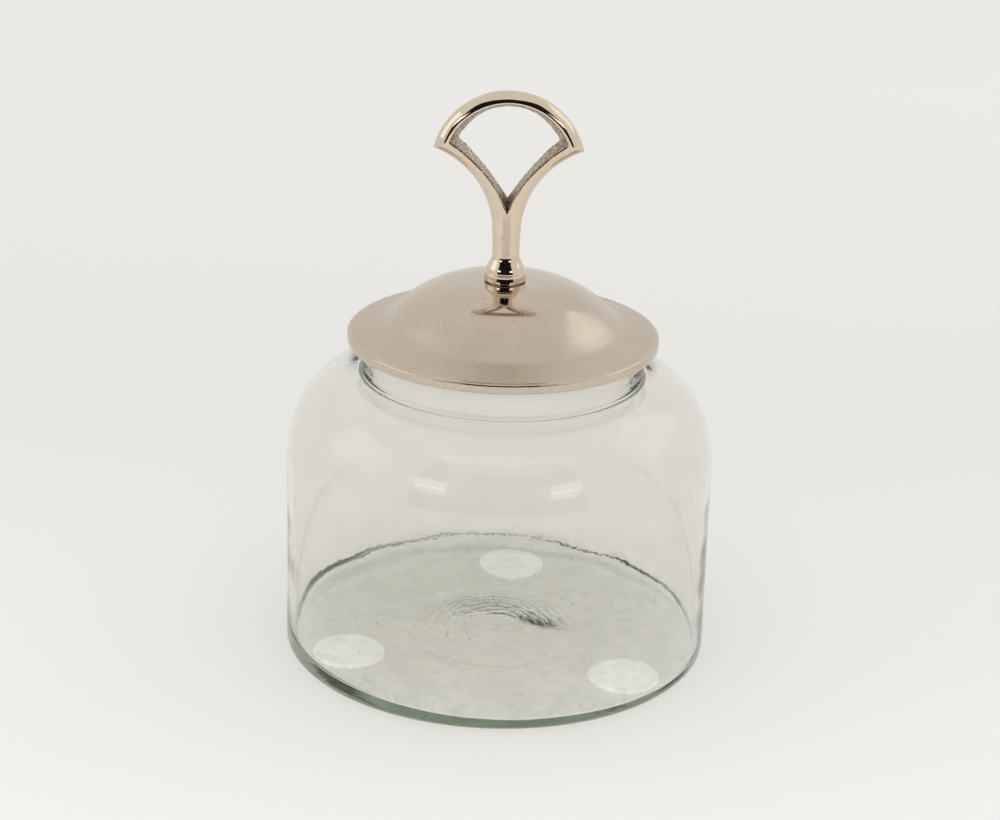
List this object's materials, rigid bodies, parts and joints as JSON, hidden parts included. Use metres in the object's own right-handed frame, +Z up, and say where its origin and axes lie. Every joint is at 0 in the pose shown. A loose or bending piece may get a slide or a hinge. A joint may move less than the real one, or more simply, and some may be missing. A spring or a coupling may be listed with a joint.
{
  "type": "lidded glass canister",
  "caption": "Round blown-glass canister with a domed polished-metal lid that lifts off and turns, a fan-shaped handle, and small round pads under the base.",
  "frame": {"origin": "on the surface the pads stand on, at the jar's axis", "axes": "+Z up along the jar's axis, +X along the fan handle's width, -Y towards the viewer"},
  "size_m": [0.1802, 0.1802, 0.2438],
  "materials": {
    "glass": "clear hand-blown soda glass with a faint green tint, seeds and slight waviness",
    "pad": "frosted translucent soft vinyl",
    "seal": "milky translucent plastic",
    "lid_metal": "warm nickel plate, polished over a very fine brushed grain",
    "handle_metal": "warm nickel plate, polished outside, rough as cast on the inner faces",
    "fasteners": "zinc-plated"
  },
  "bodies": {
    "jar": {"jar": "glass", "base_pad_1": "pad", "base_pad_2": "pad", "base_pad_3": "pad"},
    "seal": {"seal_ring": "seal"},
    "lid": {"locating_collar": "lid_metal", "lid_shell": "lid_metal", "fan_handle": "handle_metal", "handle_screw": "fasteners", "flat_washer": "fasteners", "lock_washer": "fasteners"}
  },
  "joints": [
    {"name": "lid_lift", "type": "slide", "parent": "jar", "child": "seal", "axis": [0, 0, 1], "range_m": [0, 0.12]},
    {"name": "lid_turn", "type": "hinge", "parent": "seal", "child": "lid", "pos_m": [0, 0, 0.14], "axis": [0, 0, 1], "continuous": true}
  ]
}
